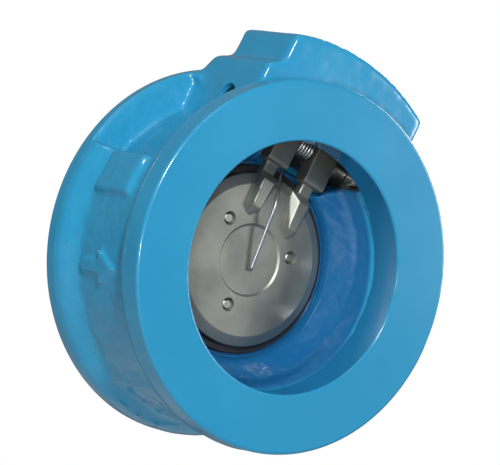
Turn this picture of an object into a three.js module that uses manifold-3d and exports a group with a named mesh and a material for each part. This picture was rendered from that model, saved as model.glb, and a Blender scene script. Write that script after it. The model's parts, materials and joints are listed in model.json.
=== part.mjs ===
// Wafer check valve, DN 150, single disc, spring closed.
// Millimetres, +Z up with the hinge on top. The pipe axis is Y: flow enters at the inlet face
// (y = 0, facing +Y) and leaves at the outlet face (y = -FACE_TO_FACE, facing -Y).
import * as THREE from "three";
import { mergeVertices } from "three/addons/utils/BufferGeometryUtils.js";
import Module from "manifold-3d";

const wasm = await Module();
wasm.setup();

// ---- Driving dimensions -------------------------------------------------------------------------

// Body casting
const FACE_TO_FACE = 98;
const RIM_RADIUS = 109; // the two flange-facing rims, inside the flange bolts
const OUTLET_RIM_WIDTH = 20; // rim thickness along the pipe
const INLET_RIM_WIDTH = 13;
const OUTLET_FLANK = 8; // axial length of the sloped flank from the outlet rim to the waist
const INLET_FLANK = 13;
const FLANK_FOOT = 2; // height at which the outlet flank turns flatter
const RIM_EDGE = 2.5; // rounding of the rim's outer edges
const BODY_WALL = 27; // wall of the waist around the outlet bore
const OUTLET_BORE = 73.7; // radius of the outlet bore
const OUTLET_LAND = 24; // depth of the cylindrical outlet bore
const INLET_MOUTH = 68; // radius of the inlet cone at the inlet face
const THROAT_RADIUS = 48.5; // radius of the port behind the seat
const THROAT_LENGTH = 12;
const RECESS_EXTRA_DEPTH = 1; // cylindrical seat recess in front of the seal
// Bowl between the outlet bore and the seat recess: share of its length, share of its fall
const BOWL_STEPS = [
  [0.14, 0.2],
  [0.42, 0.5],
  [0.7, 0.8],
];
const SEAT_DEPTH = 42.2; // inlet face to the seat face

// Hinge lug on top of the body
const LUG_HEIGHT = 25.5; // above the rim
const LUG_HALF_WIDTH = 53.5;
const STEP_HEIGHT = 9; // the lower, wider step of the lug, above the rim
const STEP_HALF_WIDTH = 62.5;
const LUG_FROM_OUTLET = 24; // outlet face to the lug's front
const LUG_FROM_INLET = 18.5; // inlet face to the lug's back
const LUG_CORNER = 5; // rounding of the lug's outer corners
const STEP_FLARE = 8; // the step's back slopes down to the rim over this length

// Deeper recesses in the waist on both sides of the lug, with floors that slope down to the inlet rim
const HOLLOW_WALL = 15.5; // wall around the outlet bore at their deepest
const HOLLOW_FROM_TOP = 38; // degrees from the top of the body, inside the lug
const HOLLOW_TO_TOP = 80;
const HOLLOW_RIM = 8; // what is left of the inlet rim there
const HOLLOW_FLANK = 4; // slope of their back walls along the pipe
const HOLLOW_FLAT = 10; // length of the deepest part along the pipe

// Bottom web, where the two rims are joined by solid metal
const WEB_TOP_ANGLE = 6; // degrees each side of the bottom at full height
const WEB_FOOT_ANGLE = 20; // degrees each side where it has run out into the waist
const WEB_DROP = 1.5; // web surface below the rim surface
const WEB_ROOT = 2; // its ends below the waist's surface

// Plain raised pad and flow arrow cast on both sides of the waist
const BOSS_WIDTH = 26;
const BOSS_LENGTH = 34;
const BOSS_RELIEF = 3.5;
const BOSS_EDGE = 2; // slope around the pad
const BOSS_BELOW_MIDDLE = -2; // degrees below the middle of the side
const MARK_ROOT = 4; // how deep the pad and the arrow reach into the waist
const ARROW_BELOW_MIDDLE = 30;
const ARROW_LENGTH = 34;
const ARROW_HEAD = 15;
const ARROW_HALF_WIDTH = 10;
const ARROW_SHAFT_HALF_WIDTH = 3.5;
const ARROW_RELIEF = 1.8;

// Disc
const SEAL_LAP = 7.5; // the seal's edge beyond the throat
const SEAL_PROUD = 4.7; // the seal's edge beyond the disc's edge
const SEAL_CLAMPED = 8.5; // width of the seal held under the retainer
const SEAL_THICKNESS = 2.7;
const SEAL_SIDE_GAP = 2; // seal edge to the seat recess
const DISC_EDGE = 3.5; // thickness of the disc's cylindrical edge
const DISC_BEVEL = 2.5; // axial height of the bevel
const DISC_BEVEL_WIDTH = 5.7; // bevel's radial width, around the flat face
const PAD_RADIUS = 20.9; // shallow round recess in the middle of the face
const PAD_DEPTH = 1.2;
const RETAINER_THROAT_GAP = 2; // retainer's edge to the throat
const RETAINER_THICKNESS = 3;

// Retainer screws
const SCREW_RADIUS = 3;
const SCREW_CIRCLE = 29.3;
const SCREW_COUNT = 3;
const SCREW_HOLE_GAP = 0.35;
const SCREW_SINK = 1; // screw end below the disc's face
const SINK_DEPTH = 2; // counterbore around the screw's end
const SINK_GAP = 0.9;
const SCREW_HEAD_RADIUS = 5.6; // across the corners of the hexagon
const SCREW_HEAD_HEIGHT = 4;
const WASHER_RADIUS = 5.4;
const WASHER_THICKNESS = 1.4;

// Hinge
const PIN_RADIUS = 5;
const PIN_HALF_LENGTH = 51.4;
const HINGE_ABOVE_SEAL = 21; // seal edge to the pin axis
const HINGE_BEHIND_FACE = 5; // disc face to the pin axis, along the pipe
const KNUCKLE_WALL = 4.2;
const KNUCKLE_WIDTH = 16;
const KNUCKLE_FROM_CENTRE = 6.8; // inner end of each knuckle
const KNUCKLE_DROP = 20; // how far the knuckle's block reaches below the pin
const ARM_WIDTH = 9;
const ARM_CREST = 4.2; // height of the rib above the disc's face
const ARM_TOE = 21; // lower end of the rib, above the disc's centre
const ARM_SHOULDER = 5.5; // upper end of the rib's crest, inside the disc's edge
const ARM_SLOPE = 6; // length of the rib's sloped toe
const ARM_SHOULDER_SLOPE = 4; // length of the slope from the crest back to the face
const ARM_NECK_DEPTH = 4; // neck below the disc's edge
const HUB_CHAMFER = 2; // bevel on the foot of the knuckle's block
const SPACER_WALL = 2.4;

// Pocket for the hinge above the bore
const POCKET_HALF_WIDTH = 34;
const POCKET_ROOF_GAP = 5.5; // above the knuckles
const POCKET_CORNER = 6; // bevel between the pocket's sides and roof
const POCKET_FRONT = 25; // outlet face to the front wall of the pocket
const POCKET_SHOULDER_GAP = 1.5; // below the spacers, where the pocket's sides turn inwards
const POCKET_BACK_GAP = 3; // behind the knuckles
const POCKET_FLOOR_DROP = 8; // front part of its floor below the knuckles' feet
const POCKET_FLOOR_INSET = 4; // ends of that floor inside the knuckles' ends
const POCKET_ARM_GAP = 2; // beside the knuckles at the back floor
const POCKET_FLOOR_RISE = 1; // back floor above the seat recess

// Plugs that close the pin bore at both ends of the lug
const PLUG_RADIUS = 6.6;
const PLUG_LENGTH = 6;
const PLUG_SINK = 2.4; // plug end below the lug's end face
const PLUG_SOCKET_RADIUS = 3.4; // across the corners of the hexagon socket
const PLUG_SOCKET_DEPTH = 3;
const GASKET_THICKNESS = 1.2;

// Torsion spring
const WIRE_RADIUS = 1;
const COIL_RADIUS = 7.2; // pin axis to the middle of the wire
const COIL_TURNS = 5;
const COIL_END_ANGLE = 25; // degrees past the rear of the coil, where the long leg leaves it
const COIL_SIDE_GAP = 0.4; // coil to the knuckles
const LEG_BOW = 5.5; // how far the long leg bows away from the disc
const LEG_BEND_DROP = 41; // the long leg's bend below the pin axis
const LEG_TIP_OFFSET = 3.5; // tip beside the disc's centre
const LEG_TIP_DROP = 5; // tip below the disc's centre
const LEG_STRAIGHT = [0.35, 0.8]; // shares of the leg's upper run held straight
const ROOF_LEG_LEAN = 0.4; // how far the short leg leans back on its way to the roof
const ROOF_LEG_START = 7; // above the pin axis

// Clearances
const GAP = 0.3; // between pieces that rest on each other
const PIN_GAP = 0.3; // pin in its bores, radial
const FINE = 96; // facets around the body
const MEDIUM = 72; // facets around the disc
const SMALL = 24; // facets around pins and bores

// ---- Places worked out from them ----------------------------------------------------------------

const OUTLET_FACE = -FACE_TO_FACE;
const SEAT_FACE = -SEAT_DEPTH;
const WAIST_RADIUS = OUTLET_BORE + BODY_WALL;
const HOLLOW_RADIUS = OUTLET_BORE + HOLLOW_WALL;
const LUG_RADIUS = RIM_RADIUS + LUG_HEIGHT;
const STEP_RADIUS = RIM_RADIUS + STEP_HEIGHT;
const SEAL_RADIUS = THROAT_RADIUS + SEAL_LAP;
const DISC_RADIUS = SEAL_RADIUS - SEAL_PROUD;
const DISC_FACE_RADIUS = DISC_RADIUS - DISC_BEVEL_WIDTH;
const RETAINER_RADIUS = THROAT_RADIUS - RETAINER_THROAT_GAP;
const SEAL_INNER = RETAINER_RADIUS - SEAL_CLAMPED;
const SEAL_BACK = SEAT_FACE - GAP;
const SEAL_FRONT = SEAL_BACK - SEAL_THICKNESS;
const DISC_BACK = SEAL_FRONT - GAP;
const DISC_BEVEL_BACK = DISC_BACK - DISC_EDGE;
const DISC_FACE = DISC_BEVEL_BACK - DISC_BEVEL;
const RETAINER_FRONT = SEAL_BACK + GAP;
const RETAINER_BACK = RETAINER_FRONT + RETAINER_THICKNESS;
const RECESS_RADIUS = SEAL_RADIUS + SEAL_SIDE_GAP;
const HINGE_HEIGHT = SEAL_RADIUS + HINGE_ABOVE_SEAL;
const HINGE_Y = DISC_FACE + HINGE_BEHIND_FACE;
const PIN_BORE = PIN_RADIUS + PIN_GAP;
const KNUCKLE_RADIUS = PIN_BORE + KNUCKLE_WALL;
const KNUCKLE_END = KNUCKLE_FROM_CENTRE + KNUCKLE_WIDTH;
const KNUCKLE_FOOT = HINGE_HEIGHT - KNUCKLE_DROP;
const ARM_CENTRE = KNUCKLE_FROM_CENTRE + KNUCKLE_WIDTH / 2;
const POCKET_TOP = HINGE_HEIGHT + KNUCKLE_RADIUS + POCKET_ROOF_GAP;
const PLUG_OUTER = STEP_HALF_WIDTH - PLUG_SINK;
const PLUG_INNER = PLUG_OUTER - PLUG_LENGTH;
const PLUG_BORE = PLUG_RADIUS + GAP;
const PLUG_SHOULDER = PLUG_INNER - GAP - GASKET_THICKNESS - GAP;

// ---- Solids: join, cut and turn ------------------------------------------------------------------

function solid(geometry) {
  const bare = geometry.clone();
  bare.deleteAttribute("normal");
  bare.deleteAttribute("uv");
  const merged = mergeVertices(bare, 1e-4);
  return new wasm.Manifold(
    new wasm.Mesh({
      numProp: 3,
      vertProperties: merged.attributes.position.array,
      triVerts: new Uint32Array(merged.index.array),
    }),
  );
}

function mesh(name, body, color, metalness, roughness) {
  const shape = body.getMesh();
  const geometry = new THREE.BufferGeometry();
  geometry.setAttribute("position", new THREE.BufferAttribute(shape.vertProperties, 3));
  geometry.setIndex(new THREE.BufferAttribute(shape.triVerts, 1));
  geometry.computeVertexNormals();
  const material = new THREE.MeshStandardMaterial({ color, metalness, roughness });
  const made = new THREE.Mesh(geometry, material);
  made.name = name;
  return made;
}

// A profile of [radius, y] points turned about the pipe axis. It runs round the section with the
// metal on its left, from the axis back to the axis, or closed on itself.
function turned(profile, facets) {
  const points = profile.map(([radius, y]) => new THREE.Vector2(radius, y));
  return solid(new THREE.LatheGeometry(points, facets));
}

// A cylinder along X from x0 to x1 with its axis at (y, z).
function rod(radius, x0, x1, y, z, facets = SMALL) {
  const cylinder = new THREE.CylinderGeometry(radius, radius, x1 - x0, facets);
  cylinder.rotateZ(Math.PI / 2);
  cylinder.translate((x0 + x1) / 2, y, z);
  return solid(cylinder);
}

// A cylinder along Y from y0 to y1 with its axis at (x, z).
function post(radius, y0, y1, x, z, facets = SMALL) {
  const cylinder = new THREE.CylinderGeometry(radius, radius, y1 - y0, facets);
  cylinder.translate(x, (y0 + y1) / 2, z);
  return solid(cylinder);
}

function block([x0, x1], [y0, y1], [z0, z1]) {
  const box = new THREE.BoxGeometry(x1 - x0, y1 - y0, z1 - z0);
  box.translate((x0 + x1) / 2, (y0 + y1) / 2, (z0 + z1) / 2);
  return solid(box);
}

// A flat outline of [x, z] points, thick along Y from y0 to y1.
function plateAlongY(outline, y0, y1) {
  const shape = new THREE.Shape(outline.map(([x, z]) => new THREE.Vector2(x, z)));
  const plate = new THREE.ExtrudeGeometry(shape, { depth: y1 - y0, bevelEnabled: false });
  plate.rotateX(Math.PI / 2);
  plate.translate(0, y1, 0);
  return solid(plate);
}

// A flat outline of [y, z] points, thick along X from x0 to x1.
function plateAlongX(outline, x0, x1) {
  const shape = new THREE.Shape(outline.map(([y, z]) => new THREE.Vector2(y, z)));
  const plate = new THREE.ExtrudeGeometry(shape, { depth: x1 - x0, bevelEnabled: false });
  plate.rotateY(Math.PI / 2);
  plate.rotateX(Math.PI / 2);
  plate.translate(x0, 0, 0);
  return solid(plate);
}

// Points on a quarter round from one angle to another, about a centre in a profile.
function roundPoints(centreRadius, centreY, radius, fromDegrees, toDegrees, count) {
  return Array.from({ length: count + 1 }, (_, i) => {
    const angle = THREE.MathUtils.degToRad(
      fromDegrees + ((toDegrees - fromDegrees) * i) / count,
    );
    return [centreRadius + radius * Math.cos(angle), centreY + radius * Math.sin(angle)];
  });
}

// ---- Body ------------------------------------------------------------------------------------------

// Outer shape of the casting as a solid of revolution: two rims and a waist between them.
function bodyBlank() {
  const outletFlank = OUTLET_FACE + OUTLET_RIM_WIDTH;
  const inletFlank = -INLET_RIM_WIDTH;
  return turned(
    [
      [0, OUTLET_FACE],
      ...roundPoints(RIM_RADIUS - RIM_EDGE, OUTLET_FACE + RIM_EDGE, RIM_EDGE, -90, 0, 3),
      ...roundPoints(RIM_RADIUS - RIM_EDGE, outletFlank - RIM_EDGE, RIM_EDGE, 0, 60, 2),
      [WAIST_RADIUS + FLANK_FOOT, outletFlank + OUTLET_FLANK / 2],
      [WAIST_RADIUS, outletFlank + OUTLET_FLANK],
      [WAIST_RADIUS, inletFlank - INLET_FLANK],
      ...roundPoints(RIM_RADIUS - RIM_EDGE, inletFlank + RIM_EDGE, RIM_EDGE, -60, 0, 2),
      ...roundPoints(RIM_RADIUS - RIM_EDGE, -RIM_EDGE, RIM_EDGE, 0, 90, 3),
      [0, 0],
    ],
    FINE,
  );
}

// Ring sector cut out of the waist from beside the lug down to the middle of the side.
function sideHollow(side) {
  const front = OUTLET_FACE + OUTLET_RIM_WIDTH + OUTLET_FLANK;
  const back = -HOLLOW_RIM;
  const ring = turned(
    [
      [WAIST_RADIUS, front],
      [RIM_RADIUS + 1, front],
      [RIM_RADIUS + 1, back],
      [HOLLOW_RADIUS, back - HOLLOW_FLANK],
      [HOLLOW_RADIUS, back - HOLLOW_FLANK - HOLLOW_FLAT],
      [WAIST_RADIUS, front],
    ],
    FINE,
  );
  const corner = (degrees) => {
    const angle = THREE.MathUtils.degToRad(degrees);
    return [side * 2 * RIM_RADIUS * Math.sin(angle), 2 * RIM_RADIUS * Math.cos(angle)];
  };
  const wedge = [[0, 0], corner(HOLLOW_FROM_TOP), corner(HOLLOW_TO_TOP)];
  return ring.intersect(plateAlongY(wedge, front, back));
}

// Outline of a circular sector with upright ends and rounded corners, symmetric about Z.
function lugOutline(radius, halfWidth) {
  const centreX = halfWidth - LUG_CORNER;
  const centreZ = Math.sqrt((radius - LUG_CORNER) ** 2 - centreX ** 2);
  const lean = THREE.MathUtils.radToDeg(Math.atan2(centreZ, centreX));
  const right = roundPoints(centreX, centreZ, LUG_CORNER, 0, lean, 3);
  const top = roundPoints(0, 0, radius, lean, 180 - lean, FINE / 4);
  const left = right.map(([x, z]) => [-x, z]).reverse();
  return [[halfWidth, 0], ...right, ...top.slice(1, -1), ...left, [-halfWidth, 0]];
}

// Stepped lug: an upper sector, and a lower and wider one whose back slopes down to the rim.
function hingeLug() {
  const front = OUTLET_FACE + LUG_FROM_OUTLET;
  const back = -LUG_FROM_INLET;
  const upper = plateAlongY(lugOutline(LUG_RADIUS, LUG_HALF_WIDTH), front, back);
  const slope = turned(
    [
      [0, front],
      [STEP_RADIUS, front],
      [STEP_RADIUS, back],
      [RIM_RADIUS, back + STEP_FLARE],
      [0, back + STEP_FLARE],
    ],
    FINE,
  );
  const ends = plateAlongY(lugOutline(STEP_RADIUS, STEP_HALF_WIDTH), front, back + STEP_FLARE);
  return upper.add(slope.intersect(ends));
}

// Solid web between the rims at the bottom, running out into the waist on both sides.
function bottomWeb() {
  const top = RIM_RADIUS - WEB_DROP;
  const steps = 24;
  const outline = [[0, 0]];
  for (let i = 0; i <= steps; i += 1) {
    const degrees = -WEB_FOOT_ANGLE + (2 * WEB_FOOT_ANGLE * i) / steps;
    const rise = 1 - THREE.MathUtils.smoothstep(Math.abs(degrees), WEB_TOP_ANGLE, WEB_FOOT_ANGLE);
    const radius = WAIST_RADIUS - WEB_ROOT + (top - WAIST_RADIUS + WEB_ROOT) * rise;
    const angle = THREE.MathUtils.degToRad(degrees - 90);
    outline.push([radius * Math.cos(angle), radius * Math.sin(angle)]);
  }
  return plateAlongY(outline, OUTLET_FACE + OUTLET_RIM_WIDTH / 2, -INLET_RIM_WIDTH / 2);
}

// Plain raised pad with sloped edges on one side of the waist.
function castBoss(side) {
  const middle = (OUTLET_FACE + OUTLET_RIM_WIDTH - INLET_RIM_WIDTH) / 2;
  const half = BOSS_WIDTH / 2;
  const outline = (inset) => [
    [middle - BOSS_LENGTH / 2 + inset, inset - half],
    [middle + BOSS_LENGTH / 2 - inset, inset - half],
    [middle + BOSS_LENGTH / 2 - inset, half - inset],
    [middle - BOSS_LENGTH / 2 + inset, half - inset],
  ];
  const root = WAIST_RADIUS - MARK_ROOT;
  const crest = WAIST_RADIUS + BOSS_RELIEF;
  const foot = plateAlongX(outline(0), root, crest - BOSS_EDGE / 2);
  const top = plateAlongX(outline(BOSS_EDGE / 2), root, crest);
  const boss = foot.add(top).rotate([0, BOSS_BELOW_MIDDLE, 0]);
  return side > 0 ? boss : boss.mirror([1, 0, 0]);
}

// Raised arrow on one side of the waist, pointing with the flow towards the outlet.
function flowArrow(side) {
  const middle = (OUTLET_FACE + OUTLET_RIM_WIDTH - INLET_RIM_WIDTH) / 2;
  const tip = middle - ARROW_LENGTH / 2;
  const neck = tip + ARROW_HEAD;
  const tail = middle + ARROW_LENGTH / 2;
  const outline = [
    [tip, 0],
    [neck, ARROW_HALF_WIDTH],
    [neck, ARROW_SHAFT_HALF_WIDTH],
    [tail, ARROW_SHAFT_HALF_WIDTH],
    [tail, -ARROW_SHAFT_HALF_WIDTH],
    [neck, -ARROW_SHAFT_HALF_WIDTH],
    [neck, -ARROW_HALF_WIDTH],
  ];
  const plate = plateAlongX(outline, WAIST_RADIUS - MARK_ROOT, WAIST_RADIUS + ARROW_RELIEF);
  const arrow = plate.rotate([0, ARROW_BELOW_MIDDLE, 0]);
  return side > 0 ? arrow : arrow.mirror([1, 0, 0]);
}

// The way through: outlet bore, bowl, seat recess, seat face, throat and inlet cone.
function waterway() {
  const bowlLength = SEAT_FACE - OUTLET_FACE - OUTLET_LAND;
  const landEnd = OUTLET_FACE + OUTLET_LAND;
  const recessDepth = GAP + SEAL_THICKNESS + RECESS_EXTRA_DEPTH;
  const fall = OUTLET_BORE - RECESS_RADIUS;
  return turned(
    [
      [0, OUTLET_FACE - 1],
      [OUTLET_BORE, OUTLET_FACE - 1],
      [OUTLET_BORE, landEnd],
      ...BOWL_STEPS.map(([length, drop]) => [
        OUTLET_BORE - fall * drop,
        landEnd + bowlLength * length,
      ]),
      [RECESS_RADIUS, SEAT_FACE - recessDepth],
      [RECESS_RADIUS, SEAT_FACE],
      [THROAT_RADIUS, SEAT_FACE],
      [THROAT_RADIUS, SEAT_FACE + THROAT_LENGTH],
      [INLET_MOUTH, 1],
      [0, 1],
    ],
    FINE,
  );
}

// Room for the knuckles, arms and spring above the bore, wider at the roof than at its floor.
function hingePocket() {
  const half = POCKET_HALF_WIDTH;
  const frontSide = KNUCKLE_END - POCKET_FLOOR_INSET;
  const backSide = KNUCKLE_END + POCKET_ARM_GAP;
  const frontFloor = KNUCKLE_FOOT - POCKET_FLOOR_DROP;
  const shoulder = HINGE_HEIGHT - PIN_BORE - SPACER_WALL - POCKET_SHOULDER_GAP;
  const backFloor = RECESS_RADIUS + POCKET_FLOOR_RISE;
  const upper = [
    [half, shoulder],
    [half, POCKET_TOP - POCKET_CORNER],
    [half - POCKET_CORNER, POCKET_TOP],
    [-half + POCKET_CORNER, POCKET_TOP],
    [-half, POCKET_TOP - POCKET_CORNER],
    [-half, shoulder],
  ];
  const frontPart = [
    [-frontSide, frontFloor],
    [frontSide, frontFloor],
    ...upper,
  ];
  const backPart = [
    [-backSide, backFloor],
    [backSide, backFloor],
    ...upper,
  ];
  const step = SEAL_FRONT + GAP;
  const back = HINGE_Y + KNUCKLE_RADIUS + POCKET_BACK_GAP;
  return plateAlongY(frontPart, OUTLET_FACE + POCKET_FRONT, step).add(
    plateAlongY(backPart, step - 1, back),
  );
}

// Bore for the hinge pin right across the lug, wider at both ends for the plugs.
function pinBore() {
  const end = STEP_HALF_WIDTH + 1;
  return rod(PIN_BORE, -end, end, HINGE_Y, HINGE_HEIGHT)
    .add(rod(PLUG_BORE, -end, -PLUG_SHOULDER, HINGE_Y, HINGE_HEIGHT))
    .add(rod(PLUG_BORE, PLUG_SHOULDER, end, HINGE_Y, HINGE_HEIGHT));
}

function valveBody() {
  let casting = bodyBlank().subtract(sideHollow(-1)).subtract(sideHollow(1));
  casting = casting.add(hingeLug()).add(bottomWeb());
  for (const side of [-1, 1]) {
    casting = casting.add(castBoss(side)).add(flowArrow(side));
  }
  const cut = casting.subtract(waterway()).subtract(hingePocket()).subtract(pinBore());
  return mesh("valve_body", cut, 0x3a97c9, 0.0, 0.35);
}

// ---- Disc and what is bolted to it -------------------------------------------------------------------

// Screws stand at 60, 180 and 300 degrees from the top of the disc.
function screwPlaces() {
  return Array.from({ length: SCREW_COUNT }, (_, i) => {
    const angle = ((i + 0.5) * 2 * Math.PI) / SCREW_COUNT;
    return { x: SCREW_CIRCLE * Math.sin(angle), z: SCREW_CIRCLE * Math.cos(angle) };
  });
}

// One hinge arm: a rib on the disc's face, a thin neck over the disc's edge, and the knuckle.
function hingeArm(side) {
  const crest = DISC_FACE - ARM_CREST;
  const shoulder = DISC_RADIUS - ARM_SHOULDER;
  const neckBack = SEAL_FRONT - GAP;
  const rib = [
    [DISC_FACE + 1, ARM_TOE],
    [DISC_FACE, ARM_TOE],
    [crest, ARM_TOE + ARM_SLOPE],
    [crest, shoulder],
    [DISC_FACE, shoulder + ARM_SHOULDER_SLOPE],
    [DISC_FACE, KNUCKLE_FOOT + HUB_CHAMFER + 1],
    [neckBack, KNUCKLE_FOOT + HUB_CHAMFER + 1],
    [neckBack, DISC_RADIUS - ARM_NECK_DEPTH],
    [DISC_FACE + 1, DISC_RADIUS - DISC_BEVEL_WIDTH],
  ];
  const front = HINGE_Y - KNUCKLE_RADIUS;
  const hub = [
    [front, KNUCKLE_FOOT + HUB_CHAMFER],
    [front + HUB_CHAMFER, KNUCKLE_FOOT],
    [neckBack, KNUCKLE_FOOT],
    [neckBack, HINGE_HEIGHT],
    [front, HINGE_HEIGHT],
  ];
  const centre = side * ARM_CENTRE;
  const arm = plateAlongX(rib, centre - ARM_WIDTH / 2, centre + ARM_WIDTH / 2);
  const from = centre - KNUCKLE_WIDTH / 2;
  const to = centre + KNUCKLE_WIDTH / 2;
  return arm
    .add(plateAlongX(hub, from, to))
    .add(rod(KNUCKLE_RADIUS, from, to, HINGE_Y, HINGE_HEIGHT));
}

function valveDisc() {
  const plate = turned(
    [
      [0, DISC_FACE + PAD_DEPTH],
      [PAD_RADIUS, DISC_FACE + PAD_DEPTH],
      [PAD_RADIUS, DISC_FACE],
      [DISC_FACE_RADIUS, DISC_FACE],
      [DISC_RADIUS, DISC_BEVEL_BACK],
      [DISC_RADIUS, DISC_BACK],
      [SEAL_INNER - GAP, DISC_BACK],
      [SEAL_INNER - GAP, SEAL_BACK],
      [0, SEAL_BACK],
    ],
    MEDIUM,
  );
  let disc = plate.add(hingeArm(-1)).add(hingeArm(1));
  disc = disc.subtract(rod(PIN_BORE, -KNUCKLE_END - 1, KNUCKLE_END + 1, HINGE_Y, HINGE_HEIGHT));
  for (const { x, z } of screwPlaces()) {
    disc = disc.subtract(post(SCREW_RADIUS + SCREW_HOLE_GAP, DISC_FACE - 1, SEAL_BACK + 1, x, z));
    disc = disc.subtract(
      post(SCREW_RADIUS + SINK_GAP, DISC_FACE - 1, DISC_FACE + SINK_DEPTH, x, z),
    );
  }
  return mesh("valve_disc", disc, 0x8f928a, 1.0, 0.35);
}

function discSeal() {
  const ring = turned(
    [
      [SEAL_INNER, SEAL_FRONT],
      [SEAL_RADIUS, SEAL_FRONT],
      [SEAL_RADIUS, SEAL_BACK],
      [SEAL_INNER, SEAL_BACK],
      [SEAL_INNER, SEAL_FRONT],
    ],
    MEDIUM,
  );
  return mesh("disc_seal", ring, 0x15171a, 0.0, 0.6);
}

function sealRetainer() {
  let plate = turned(
    [
      [0, RETAINER_FRONT],
      [RETAINER_RADIUS, RETAINER_FRONT],
      [RETAINER_RADIUS, RETAINER_BACK - 1],
      [RETAINER_RADIUS - 1, RETAINER_BACK],
      [0, RETAINER_BACK],
    ],
    MEDIUM,
  );
  for (const { x, z } of screwPlaces()) {
    const hole = post(SCREW_RADIUS + SCREW_HOLE_GAP, RETAINER_FRONT - 1, RETAINER_BACK + 1, x, z);
    plate = plate.subtract(hole);
  }
  return mesh("seal_retainer", plate, 0x9a9c97, 1.0, 0.35);
}

// Hexagon head screws from the inlet side, their ends sunk in the disc's face, each with a washer.
function retainerScrews() {
  const washerFront = RETAINER_BACK + GAP;
  const washerBack = washerFront + WASHER_THICKNESS;
  const headFront = washerBack + GAP;
  const headBack = headFront + SCREW_HEAD_HEIGHT;
  return screwPlaces().flatMap(({ x, z }, i) => {
    const head = post(SCREW_HEAD_RADIUS, headFront, headBack, x, z, 6);
    const screw = head.add(post(SCREW_RADIUS, DISC_FACE + SCREW_SINK, headBack - 1, x, z));
    const washer = post(WASHER_RADIUS, washerFront, washerBack, x, z).subtract(
      post(SCREW_RADIUS + SCREW_HOLE_GAP, washerFront - 1, washerBack + 1, x, z),
    );
    return [
      mesh(`retainer_screw_${i + 1}`, screw, 0xa6a496, 1.0, 0.3),
      mesh(`screw_washer_${i + 1}`, washer, 0xa6a496, 1.0, 0.3),
    ];
  });
}

// ---- Hinge --------------------------------------------------------------------------------------------

function hingePin() {
  const pin = rod(PIN_RADIUS, -PIN_HALF_LENGTH, PIN_HALF_LENGTH, HINGE_Y, HINGE_HEIGHT);
  return mesh("hinge_pin", pin, 0xb4b4ae, 1.0, 0.25);
}

// Sleeves that keep the knuckles in the middle of the pocket.
function hingeSpacers() {
  const inner = KNUCKLE_END + GAP;
  const outer = POCKET_HALF_WIDTH - GAP;
  return [-1, 1].map((side) => {
    const from = Math.min(side * inner, side * outer);
    const to = Math.max(side * inner, side * outer);
    const sleeve = rod(PIN_BORE + SPACER_WALL, from, to, HINGE_Y, HINGE_HEIGHT).subtract(
      rod(PIN_BORE, from - 1, to + 1, HINGE_Y, HINGE_HEIGHT),
    );
    return mesh(side < 0 ? "hinge_spacer_left" : "hinge_spacer_right", sleeve, 0xbdb9a6, 1.0, 0.3);
  });
}

// Threaded plugs with a hexagon socket, each on a flat gasket at the bottom of its bore.
function pinPlugs() {
  return [-1, 1].flatMap((side) => {
    const place = side < 0 ? "left" : "right";
    const between = (a, b) => [Math.min(side * a, side * b), Math.max(side * a, side * b)];
    const [plugFrom, plugTo] = between(PLUG_INNER, PLUG_OUTER);
    const [socketFrom, socketTo] = between(PLUG_OUTER - PLUG_SOCKET_DEPTH, PLUG_OUTER + 1);
    const plug = rod(PLUG_RADIUS, plugFrom, plugTo, HINGE_Y, HINGE_HEIGHT).subtract(
      rod(PLUG_SOCKET_RADIUS, socketFrom, socketTo, HINGE_Y, HINGE_HEIGHT, 6),
    );
    const gasketInner = PLUG_INNER - GAP - GASKET_THICKNESS;
    const [gasketFrom, gasketTo] = between(gasketInner, gasketInner + GASKET_THICKNESS);
    const gasket = rod(PLUG_RADIUS, gasketFrom, gasketTo, HINGE_Y, HINGE_HEIGHT).subtract(
      rod(PIN_BORE, gasketFrom - 1, gasketTo + 1, HINGE_Y, HINGE_HEIGHT),
    );
    return [
      mesh(`pin_plug_${place}`, plug, 0x55585a, 1.0, 0.4),
      mesh(`plug_gasket_${place}`, gasket, 0xb87333, 1.0, 0.4),
    ];
  });
}

// One wire: a short leg against the pocket's roof, the coil round the pin, and a long leg that
// runs down in front of the disc and presses on its middle.
function torsionSpring() {
  const half = KNUCKLE_FROM_CENTRE - COIL_SIDE_GAP - WIRE_RADIUS;
  const roof = POCKET_TOP - WIRE_RADIUS - GAP;
  const tipY = DISC_FACE + PAD_DEPTH - WIRE_RADIUS - GAP;
  const points = [
    new THREE.Vector3(half, HINGE_Y + COIL_RADIUS + 2 * ROOF_LEG_LEAN, roof),
    new THREE.Vector3(half, HINGE_Y + COIL_RADIUS + ROOF_LEG_LEAN, HINGE_HEIGHT + ROOF_LEG_START),
  ];
  const turns = COIL_TURNS + COIL_END_ANGLE / 360;
  const steps = Math.round(turns * 12);
  for (let i = 0; i <= steps; i += 1) {
    const turn = (i / steps) * turns * 2 * Math.PI;
    const x = half - (2 * half * i) / steps;
    const y = HINGE_Y + COIL_RADIUS * Math.cos(turn);
    const z = HINGE_HEIGHT - COIL_RADIUS * Math.sin(turn);
    points.push(new THREE.Vector3(x, y, z));
  }
  const coilEnd = points.at(-1);
  const bendHeight = HINGE_HEIGHT - LEG_BEND_DROP;
  const bend = new THREE.Vector3(-half, DISC_FACE - WIRE_RADIUS - LEG_BOW, bendHeight);
  points.push(...LEG_STRAIGHT.map((share) => coilEnd.clone().lerp(bend, share)));
  points.push(bend);
  points.push(new THREE.Vector3(LEG_TIP_OFFSET, tipY, -LEG_TIP_DROP));
  const path = new THREE.CatmullRomCurve3(points);
  const section = new THREE.Shape().absarc(0, 0, WIRE_RADIUS, 0, 2 * Math.PI);
  const wire = new THREE.ExtrudeGeometry(section, {
    steps: 110,
    curveSegments: 4,
    bevelEnabled: false,
    extrudePath: path,
  });
  return mesh("torsion_spring", solid(wire), 0xc9cbc8, 1.0, 0.2);
}

// ---- Assembly --------------------------------------------------------------------------------------------

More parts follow.
